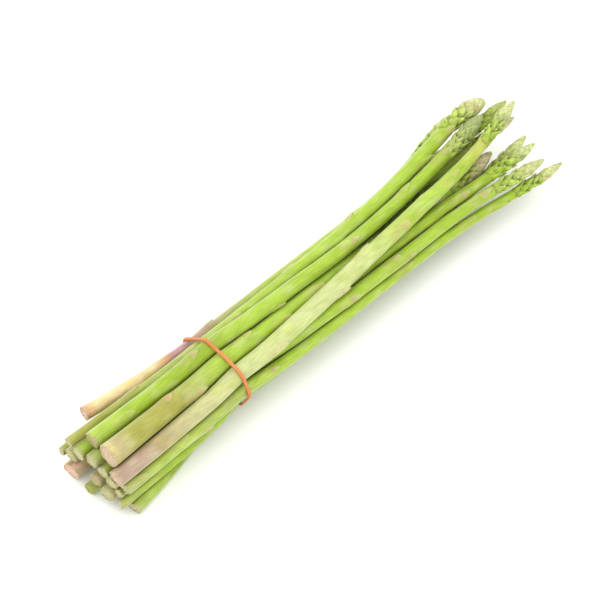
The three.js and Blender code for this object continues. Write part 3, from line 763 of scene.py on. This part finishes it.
def leafPoints(index, rootX, turn, length, halfWidth, height, thickness, bend):
    # Shells on the skin. Each point's x is its share of the length, its angle its share of
    # the half width over the radius, and the inner face lies a thickness below the outer.
    # A leaf's tip turns aside by its bend, in radians.
    spear = spears[index]
    v, u = leafGrid(*height.shape[-2:])
    rootX, turn, length, bend = tall(rootX, turn, length, bend)
    x = rootX + length * v
    core = coreRadius(spear, np.minimum(x, endsOf(spear)[1] - 0.4))
    halfAngle = np.minimum(halfWidth / np.maximum(core, 0.7), 1.5)
    x, angle = np.broadcast_arrays(x, turn + bend * v ** 2 + u * halfAngle)
    outer = onStem(index, x, angle, core + height)
    inner = onStem(index, x, angle, np.maximum(core + height - thickness, 0.05))
    return np.stack([outer, inner], 1), x, angle


def leafBlock(points, tint, innerShade, finish):
    # the shells' inner faces, turned to the stem, carry a painted shade, darker than their outer
    # ones
    count, _, rows, columns = points.shape[:4]
    faces = repeated(shellFaces(rows, columns), 2 * rows * columns, count)
    return block(points, np.stack([tint, tint * innerShade], 1), faces, finish)


def bractBlock(index):
    # A pointed blade: its half width rises to its widest place, then falls by a power to the
    # tip. It starts at a low step, is ridged along its middle, and its edges sink into the
    # skin but for the tip. Those near the head are longer.
    spear = spears[index]
    places = bractsOf(index)
    middle = np.abs(places[:, 0] + bract["length"] / 2 - band["x"]) - bract["length"] / 2
    places = places[middle > bract["clearOfBand"]]
    rootX, turn = places[:, 0], np.radians(places[:, 1])
    size, strength, brown, bend = drawnRows(index + bract["seed"], len(rootX), 4)
    v, u = leafGrid(bract["rows"], bract["columns"])
    early = 0.55 + 0.45 * np.sin(math.pi / 2 * np.minimum(v / bract["widest"], 1))
    late = 1 - np.clip((v - bract["widest"]) / (1 - bract["widest"]), 0, 1) ** 1.6
    outline = np.maximum(early * late, 0.03)
    size = between(bract["size"], size)
    width = math.radians(bract["halfAngle"]) * coreRadius(spear, rootX)
    halfWidth = (width * size)[:, None, None] * outline
    free = layout["freeShare"] * freeHeight(index, rootX + bract["length"], turn)
    rise = np.minimum(bract["rise"] * size, free)[:, None, None]
    edge = bract["edge"] * smoothStep(0.5, 1, v)
    crown = edge + (1 - edge) * (1 - np.abs(u) ** 2.2)
    node = np.minimum(stem["node"], free)[:, None, None] * smoothStep(0, 0.5, v)
    step = smoothStep(0, 0.1, v)
    height = node + rise * step * (0.4 + 0.6 * smoothStep(0.1, 0.6, v)) * crown - 0.3 * (1 - step)
    thickness = bract["thickness"] * (1 - 0.4 * v) + node
    nearHead = np.exp(-((endsOf(spear)[2] - rootX) / bract["longerRun"]) ** 2)
    length = bract["length"] * (0.85 + 0.15 * size) * (1 + bract["longer"] * nearHead)
    points, x, angle = leafPoints(index, rootX, turn, length, halfWidth, height, thickness,
                                  bract["bend"] * (bend - 0.5))
    strength, brown = tall(0.2 + 0.45 * strength, brown)
    inside = 1 - 0.85 * u ** 2
    patch = strength * smoothStep(0.05, 0.5, v) * inside
    tint = mixed(skinTint(index, x, angle), spear["dry"], patch)
    stain = softSpot(v, u, bract["stain"]) * brown * strength
    tint = mixed(tint, "scar", 0.6 * stain)
    pale = 0.3 * smoothStep(0.5, 0.85, v) + 0.25 * np.abs(u) ** 3
    tint = mixed(tint, "bloom", pale * strength)
    # darker at the tip; a painted shade darkens the root step and where another stem lies close
    tint = tint * (1 - 0.35 * smoothStep(0.9, 1, v))[..., None]
    tint = tint * (0.8 + 0.2 * smoothStep(0, 0.12, v))[..., None] * paintedShade(index, x, angle)
    return leafBlock(points, tint, bract["innerShade"], bractFinish)


# The head's scales and the buds that sit between them
scale = {
    "rows": 10, "columns": 9, "thickness": 0.26, "bulge": 0.34, "ragged": 0.5,
    "spread": (1.02, 1.35), "back": (0.35, 1.1),       # on the stalk and in the cap
    "innerShade": 0.5, "seed": 203, "budSeed": 307,
    "budRows": 4, "budLength": 1.2, "budWidth": 0.55, "budRise": 0.6, "stain": 0.55,
    "budSides": 8, "budRings": 6, "budPole": 0.2,      # radians from a bud's end, left flat
}


def scalePlaces(index):
    # The staggered rows of the solid's relief, with the same drawn reaches, and three last
    # scales that close the point
    spear = spears[index]
    _, tipX, neckX = endsOf(spear)
    sides = 10 if max(spear["sizes"][:2]) >= layout["thickStem"] else 8
    draw = makeDraw(index + scaleRow["seed"])
    places = []
    x = neckX + scaleRow["start"]
    beyond = 1 - scaleRow["ringAt"] + scaleRow["overhang"]
    for row in range(scaleRow["count"]):
        pitch = between(scaleRow["pitch"], row / (scaleRow["count"] - 1))
        for column in range(sides):
            reach = between(scaleRow["reach"], draw())
            if (column + row) % 2 == 0:
                turn = (column + 0.5) * 2 * math.pi / sides - math.pi / 2
                ahead = (scaleRow["ringAt"] + beyond * reach) * pitch
                places.append((x, ahead, turn, reach, row, pitch))
        x += pitch
    for k in range(3):
        places.append((x - 0.6, tipX - x + 0.4, 2 * math.pi * k / 3, 1, scaleRow["count"], 2))
    return np.array(places).T, sides


def scaleBlock(index):
    # A scale's half width falls from its root to a point as 1 less a power of v. Its height
    # rises from under the skin to its tip, is crowned across, and lies flatter where a
    # neighbour is close. Low scales are ragged, and those of the cap overlap and lie close.
    # Dry stains spread towards the point, and a painted shade darkens each root and where another
    # stem lies close.
    spear = spears[index]
    (rootX, ahead, turn, reach, _, pitch), sides = scalePlaces(index)
    _, tipX, neckX = endsOf(spear)
    light, aside, wider, fresh, bend = drawnRows(index + scale["seed"], len(rootX), 5)
    capX = tipX - scaleRow["capLength"]
    cap = smoothStep(capX - 3, capX + 3, rootX)
    ragged = scale["ragged"] * (1 - 0.75 * cap)
    turn = turn + ragged * (aside - 0.5)
    v, u = leafGrid(scale["rows"], scale["columns"])
    tipAt = np.minimum(rootX + ahead, tipX)
    inside = np.minimum(tipAt, tipX - 0.4)
    outwards = roomRadius(spear, inside) - coreRadius(spear, inside)
    rise = (outwards + scaleRow["rise"]) * reach
    rise = rise * (1 + ragged * (light - 0.3)) * (1 - 0.3 * cap)
    free = layout["freeShare"] * freeHeight(index, tipAt, turn)
    rise = np.minimum(rise, free)[:, None, None]
    spread = between(scale["spread"], cap) * (1 + ragged * (wider - 0.5))
    halfWidth, power = tall(2 * math.pi / sides * spread * coreRadius(spear, rootX),
                            2.2 + 1.2 * cap)
    outline = np.maximum((1 - v ** power) * (0.8 + 0.2 * np.sin(math.pi * v)), 0.04)
    crown = 1 - 0.45 * np.abs(u) ** 2 * (1 - 0.5 * v)
    bulge = scale["bulge"] * np.sin(math.pi * v) * (1 - u ** 2)
    height = rise * v ** 0.9 * crown + bulge * np.minimum(rise, 1) - 0.3 * (1 - v) ** 2
    thickness = scale["thickness"] * (1 - 0.3 * v)
    back = pitch * between(scale["back"], cap)
    points, x, angle = leafPoints(index, rootX - back, turn, tipAt - rootX + back,
                                  halfWidth * outline, height, thickness, ragged * (bend - 0.5))
    light, fresh, cap = tall(light, fresh, cap)
    low, high, stained = spear["scales"]
    along = np.clip((x - neckX) / layout["headLength"], 0, 1)
    tint = mixed(low, high, smoothStep(0.15, 0.75, along + 0.2 * (v - 0.5)))
    tint = mixed(tint, "fresh", 0.4 * smoothStep(0.45, 1, fresh) * (1 - cap))
    stain = smoothStep(0, 0.8, wave("stain", index, x, angle))
    tint = mixed(tint, linear(stained) * 0.8, scale["stain"] * stain * along)
    stalk = 1 - smoothStep(neckX - 2, neckX + 5, x)
    tint = mixed(tint, skinTint(index, x, angle), 0.6 * stalk)
    edge = np.abs(u) ** 3 * (1 - v) + smoothStep(0.8, 1, v)
    tint = mixed(tint, spear["dry"], 0.28 * edge)
    tint = tint * (1 + (0.3 - 0.08 * cap) * (light - 0.5))[..., None]
    # painted shade: each scale darkens towards its root, which the row below covers, less so in
    # the cap
    tint = tint * (1 - (0.42 - 0.14 * cap) * (1 - smoothStep(0.1, 0.5, v)))[..., None]
    tint = tint * paintedShade(index, x, angle)
    return leafBlock(points, tint, scale["innerShade"], scaleFinish)


def budBlock(index):
    # Small rounded buds on both sides of the lower scales: ellipsoids whose length runs along
    # the stem and whose other two radii lie round it and out from it.
    spear = spears[index]
    (rootX, ahead, turn, _, row, _), sides = scalePlaces(index)
    kept = row < scale["budRows"]
    rootX, ahead, turn = [np.repeat(value[kept], 2) for value in (rootX, ahead, turn)]
    size, slid = drawnRows(index + scale["budSeed"], len(rootX), 2)
    aside = np.where(np.arange(len(rootX)) % 2 == 0, -1, 1) * (0.7 + 0.5 * slid)
    size, aside, turn, middle = tall(0.5 + 0.8 * size, aside, turn,
                                     rootX + (0.55 + 0.5 * slid) * ahead)
    rings, around = scale["budRings"] + 2, scale["budSides"]
    polar = np.linspace(scale["budPole"], math.pi - scale["budPole"], rings)[None, :, None]
    spin = (np.arange(around) * 2 * math.pi / around)[None, None]
    x = middle - scale["budLength"] * size * np.cos(polar)
    width = scale["budWidth"] * size * np.sin(polar)
    core = coreRadius(spear, middle)
    angle = turn + aside * 1.9 / sides + width * np.cos(spin) / np.maximum(core, 1)
    free = layout["freeShare"] * freeHeight(index, middle, turn)
    lift = np.minimum(scale["budRise"] * size, free)
    points = onStem(index, x, angle, core + lift * 0.5 + width * np.sin(spin) * 0.8)
    base = mixed(spear["scales"][0], "fresh", 0.25)
    # each bud is pale and bright at its front end, a painted highlight, and darker at its root, a
    # painted shade
    pointed = (1 - np.cos(polar)) / 2 * np.ones_like(spin)
    tint = mixed(base, "bloom", 0.5 * pointed ** 2) * (0.75 + 0.3 * pointed)[..., None]
    each = rings * around
    faces = repeated(gridFaces(rings, around, True)[:, ::-1], each, len(points))
    ends = np.stack([np.arange(around)[::-1], each - around + np.arange(around)])
    ends = repeated(ends, each, len(points))
    return block(points, tint, faces, scaleFinish, [(ends, scaleFinish)])


# The rubber band
def bandInside(turn):
    # the stem that reaches furthest at this turn carries the band there
    best, reach = None, np.full(turn.shape, -np.inf)
    for index, spear in enumerate(spears):
        x = band["x"] - band["skew"] * readRow(settledY[index], band["x"])
        out = roomRadius(spear, x) + band["gap"]
        y = readRow(settledY[index], x) + out * np.cos(turn)
        z = readRow(settledZ[index], x) + out * np.sin(turn)
        far = y * np.cos(turn) + z * np.sin(turn)
        spot = np.stack([y, z], -1)
        best = spot if best is None else np.where((far > reach)[:, None], spot, best)
        reach = np.maximum(far, reach)
    return best


def bandBlock():
    # The loop runs straight from stem to stem. It is cut into equal lengths and eased, and
    # its section is a rounded rectangle, a superellipse of power 4, that twists a little.
    turn = np.linspace(0, 2 * math.pi, band["samples"], endpoint=False)
    loop = bandInside(turn)
    loop = np.concatenate([loop, loop[:1]])
    steps = np.hypot(*np.diff(loop, axis=0).T)
    length = np.concatenate([[0], np.cumsum(steps)])
    even = np.linspace(0, length[-1], band["rings"], endpoint=False)
    line = np.stack([np.interp(even, length, loop[:, k]) for k in range(2)], -1)
    for _ in range(band["easing"]):
        line = (np.roll(line, 1, 0) + 2 * line + np.roll(line, -1, 0)) / 4
    ahead = unit(np.roll(line, -1, 0) - np.roll(line, 1, 0))
    out = np.stack([ahead[:, 1], -ahead[:, 0]], -1)
    place = even / length[-1]
    corner = np.arange(band["corners"]) * 2 * math.pi / band["corners"]
    wide, deep = [np.sign(way) * np.abs(way) ** 0.5 * band[size] / 2 for way, size in
                  ((np.cos(corner), "width"), (np.sin(corner), "thickness"))]
    wobble = np.sin(2 * math.pi * (3 * place + 0.2)) + 0.6 * np.sin(2 * math.pi * (7 * place))
    twist = band["twist"] * wobble
    cosine, sine = np.cos(twist)[:, None], np.sin(twist)[:, None]
    across = wide * cosine - deep * sine
    depth = wide * sine + deep * cosine + band["thickness"] / 2
    yz = line[:, None] + out[:, None] * depth[..., None]
    x = band["x"] - band["skew"] * yz[..., 0] + across + band["stray"] * wobble[:, None]
    points = np.concatenate([x[..., None], yz], -1)
    # painted highlight: the band's outer face is mixed towards a paler orange, more at some places
    # along the loop
    outerHighlight = smoothStep(0.2, 1, deep / band["thickness"] * 2)[None] * (0.6 + 0.4 * wobble[:, None])
    tint = mixed(band["rubber"], band["outerHighlight"], np.clip(outerHighlight, 0, 1) * 0.6)
    faces = gridFaces(band["rings"] + 1, band["corners"], True)
    return block(points, tint, faces[:, ::-1] % points[..., 0].size, 0)


# Materials
def addNode(tree, kind, settings=None, links=None):
    # adds a node, sets its properties and sockets, and links sockets from other outputs
    node = tree.nodes.new(kind)
    for key, value in (settings or {}).items():
        if key in node.inputs:
            node.inputs[key].default_value = value
        else:
            setattr(node, key, value)
    for key, source in (links or {}).items():
        tree.links.new(source, node.inputs[key])
    return node


def startMaterial(name, shaderSettings):
    material = bpy.data.materials.new(name)
    material.use_nodes = True
    tree = material.node_tree
    tree.nodes.clear()
    shader = addNode(tree, "ShaderNodeBsdfPrincipled", shaderSettings)
    addNode(tree, "ShaderNodeOutputMaterial", links={"Surface": shader.outputs["BSDF"]})
    return material, tree, shader


def makeFinish(name, shaderSettings, texture):
    # A texture in the object's own space, noise unless it says otherwise, has cells of a
    # width and a length in millimetres. A grey that follows it darkens the piece's own tint,
    # and it stands out as a relief of its depth.
    material, tree, shader = startMaterial(name, shaderSettings)
    across, along = texture["cell"]
    place = addNode(tree, "ShaderNodeTexCoord")
    stretch = addNode(tree, "ShaderNodeMapping", {"Scale": (across / along, 1, 1)},
                      {"Vector": place.outputs["Object"]})
    pattern = addNode(tree, texture.get("kind", "ShaderNodeTexNoise"),
                      {"Scale": 1 / (across * mm), "Detail": texture["detail"]},
                      {"Vector": stretch.outputs["Vector"]})
    height = pattern.outputs[0]
    dark, bright = texture["grey"]
    grey = addNode(tree, "ShaderNodeMapRange", {"From Min": 0.3, "From Max": 0.7, "To Min": dark,
                                                "To Max": bright}, {"Value": height})
    tint = addNode(tree, "ShaderNodeAttribute", {"attribute_name": "tint"})
    product = addNode(tree, "ShaderNodeVectorMath", {"operation": "SCALE"},
                      {"Vector": tint.outputs["Color"], "Scale": grey.outputs["Result"]})
    relief = addNode(tree, "ShaderNodeBump", {"Strength": 1, "Distance": texture["depth"] * mm},
                     {"Height": height})
    tree.links.new(product.outputs["Vector"], shader.inputs["Base Color"])
    tree.links.new(relief.outputs["Normal"], shader.inputs["Normal"])
    return material


def waxySkin():
    # Living green skin under a thin bloom of wax: satin, with fine lengthwise streaks.
    return makeFinish("waxyAsparagusSkin", {
        "Roughness": 0.42, "IOR": 1.4, "Subsurface Weight": 0.12,
        "Subsurface Radius": (0.9, 1.0, 0.3), "Subsurface Scale": 1.2 * mm,
    }, {"cell": (0.9, 6), "detail": 4, "grey": (0.65, 0.83), "depth": 0.08})


def dryBract():
    # A papery scale leaf, dry and thin, with fine veins along it: matt.
    return makeFinish("dryAsparagusBract", {"Roughness": 0.68, "IOR": 1.45},
                      {"cell": (0.3, 4), "detail": 2, "grey": (0.66, 0.84), "depth": 0.05})


def cutFlesh():
    # Moist fibrous flesh, cut across. Its strands show as darker dots 0.8 mm apart.
    return makeFinish("cutAsparagusFlesh", {
        "Roughness": 0.5, "IOR": 1.4, "Subsurface Weight": 0.15,
        "Subsurface Radius": (1.0, 0.8, 0.4), "Subsurface Scale": 1.5 * mm,
    }, {"kind": "ShaderNodeTexVoronoi", "cell": (0.8, 8), "detail": 0, "grey": (0.58, 0.78),
        "depth": 0.08})


def headScale():
    # The closed scale leaves of the head: waxy, duller than the stem, finely veined.
    return makeFinish("closedHeadScale", {
        "Roughness": 0.55, "IOR": 1.45, "Subsurface Weight": 0.08,
        "Subsurface Radius": (0.6, 0.7, 0.2), "Subsurface Scale": 0.8 * mm,
    }, {"cell": (0.7, 1.8), "detail": 5, "grey": (0.48, 0.97), "depth": 0.12})


def naturalRubber():
    # Vulcanised natural rubber cut from a tube: satin, with a dusting of talc.
    return makeFinish("naturalRubberBand", {"Roughness": 0.5, "IOR": 1.52},
                      {"cell": (0.35, 0.35), "detail": 3, "grey": (0.68, 0.78),
                       "depth": 0.03})


# The view. T is a point over the middle of the bunch, and the camera looks down on it.
view = {
    "heading": 44.8, "pitch": 54.5, "distance": 1600, "over": (0, 0, 14), "right": 0.73,
    "up": 2.58, "lens": 223.26, "sensor": 36,
}
light = {
    "world": 1.45, "keyPower": 8, "keySize": 2.0, "keyDistance": 1.8,
    "keySlant": 0.38,          # how far it comes from the left, for each metre down
    "floorTint": "#F6F6F4", "floorSize": 8, "floorDrop": 0.1,
}


def viewAxes():
    # forward, right and up of a camera that heads and pitches by these degrees
    heading, pitch = math.radians(view["heading"]), math.radians(view["pitch"])
    ahead = np.array([math.sin(heading) * math.cos(pitch), math.cos(heading) * math.cos(pitch),
                      -math.sin(pitch)])
    right = np.array([math.cos(heading), -math.sin(heading), 0])
    return ahead, right, np.cross(right, ahead)


def placeLooking(thing, spot, ahead, right, up):
    turned = Matrix([right, up, -ahead]).transposed().to_4x4()
    thing.matrix_world = Matrix.Translation(Vector(spot * mm)) @ turned
    bpy.context.scene.collection.objects.link(thing)


def makeCamera():
    ahead, right, up = viewAxes()
    data = bpy.data.cameras.new("camera")
    data.lens, data.sensor_width = view["lens"], view["sensor"]
    camera = bpy.data.objects.new("camera", data)
    aim = np.array(view["over"]) + offset + view["right"] * right + view["up"] * up
    placeLooking(camera, aim - view["distance"] * ahead, ahead, right, up)
    bpy.context.scene.camera = camera


def makeLight():
    # one large soft light from high on the left, and a white room
    _, right, _ = viewAxes()
    data = bpy.data.lights.new("softbox", "AREA")
    data.energy, data.size = light["keyPower"], light["keySize"]
    softbox = bpy.data.objects.new("softbox", data)
    towards = unit(light["keySlant"] * right + np.array([0, 0, -1]))
    side = unit(np.cross(towards, [0, 0, 1]))
    placeLooking(softbox, -towards * light["keyDistance"] / mm, towards, side,
                 np.cross(side, towards))
    world = bpy.data.worlds.new("whiteRoom")
    world.use_nodes = True
    background = world.node_tree.nodes["Background"]
    background.inputs["Color"].default_value = (1, 1, 1, 1)
    background.inputs["Strength"].default_value = light["world"]
    bpy.context.scene.world = world
    bpy.context.scene.view_settings.view_transform = "Standard"


def makeFloor():
    half = light["floorSize"] / 2
    z = -light["floorDrop"] * mm
    mesh = bpy.data.meshes.new("floor")
    mesh.from_pydata([(-half, -half, z), (half, -half, z), (half, half, z), (-half, half, z)], [],
                     [(0, 1, 2, 3)])
    material, _, shader = startMaterial("paleTable", {"Roughness": 0.7})
    shader.inputs["Base Color"].default_value = (*linear(light["floorTint"]), 1)
    mesh.materials.append(material)
    floor = bpy.data.objects.new("floor", mesh)
    bpy.context.scene.collection.objects.link(floor)


makeCamera()
makeLight()
makeFloor()
print("camera, light and floor ready")

finishes = [waxySkin(), dryBract(), cutFlesh(), headScale()]
for index, spear in enumerate(spears):
    parts = [stemBlock(index), bractBlock(index), scaleBlock(index), budBlock(index)]
    name = "asparagusSpear" + spear["node"].split("_")[1]
    piece = makePiece(name, parts, finishes)
    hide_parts(spear["node"])
    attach(piece, "root")
    print(name, len(piece.data.polygons), "faces")

rubberBand = makePiece("rubberBand", [bandBlock()], [naturalRubber()])
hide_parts("rubber_band")
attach(rubberBand, "root")
print("rubber band ready")
